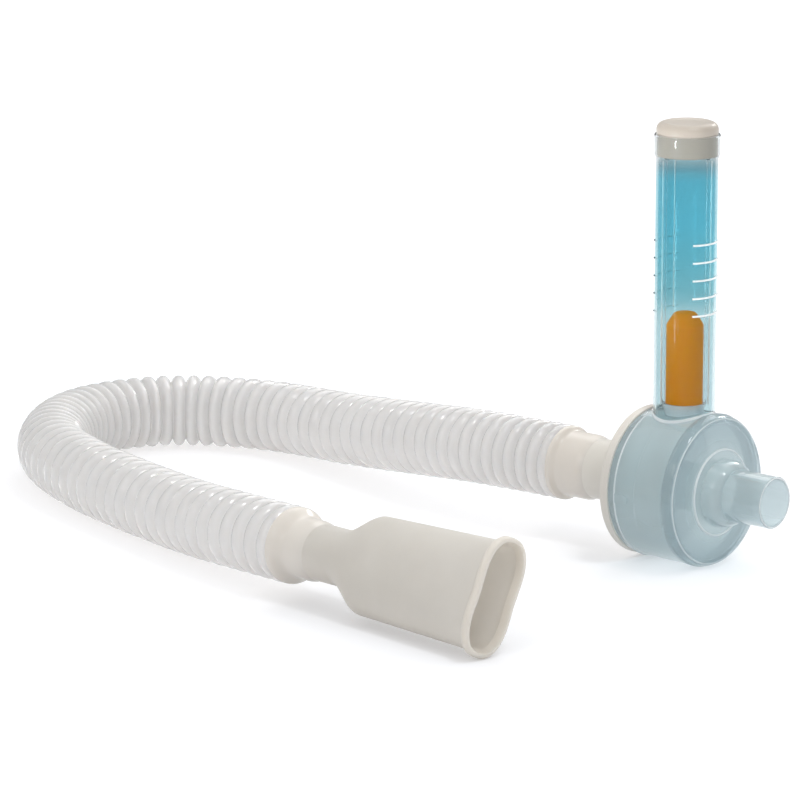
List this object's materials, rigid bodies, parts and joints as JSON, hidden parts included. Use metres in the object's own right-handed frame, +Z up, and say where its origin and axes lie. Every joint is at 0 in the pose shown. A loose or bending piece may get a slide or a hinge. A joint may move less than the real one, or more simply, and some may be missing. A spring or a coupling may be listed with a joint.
{
  "type": "incentive spirometer",
  "caption": "Breathing trainer with a clear drum, an upright flow tube with a rising float, a rotary flow selector, and a corrugated hose that ends in an oval mouthpiece.",
  "frame": {"origin": "on the bench under the axis of the upright flow tube", "axes": "+Z up along the flow tube, -Y out of the drum's front nozzle, +Y towards the selector and the hose"},
  "size_m": [0.2318, 0.3847, 0.1877],
  "materials": {
    "clear": "clear moulded",
    "pale": "satin moulded",
    "float": "satin moulded",
    "hose": "translucent blown",
    "seal": "soft"
  },
  "bodies": {
    "housing": {"barrel": "clear", "front_cover": "clear", "column_tube": "clear", "guide_tube": "clear", "float_seat": "clear", "partition": "clear", "column_plug": "pale", "hose_port": "pale", "snap_ring": "pale", "dial_seal": "seal", "rear_cuff": "hose", "hose": "hose", "front_cuff": "hose", "mouthpiece": "pale"},
    "float": {"indicator_float": "float"},
    "selector": {"selector_dial": "pale"}
  },
  "joints": [
    {"name": "float_rise", "type": "slide", "parent": "housing", "child": "float", "axis": [0, 0, 1], "range_m": [0, 0.0664]},
    {"name": "selector_turn", "type": "hinge", "parent": "housing", "child": "selector", "pos_m": [0, 0.018, 0.0326], "axis": [0, -1, 0], "range_deg": [0, 150]}
  ]
}
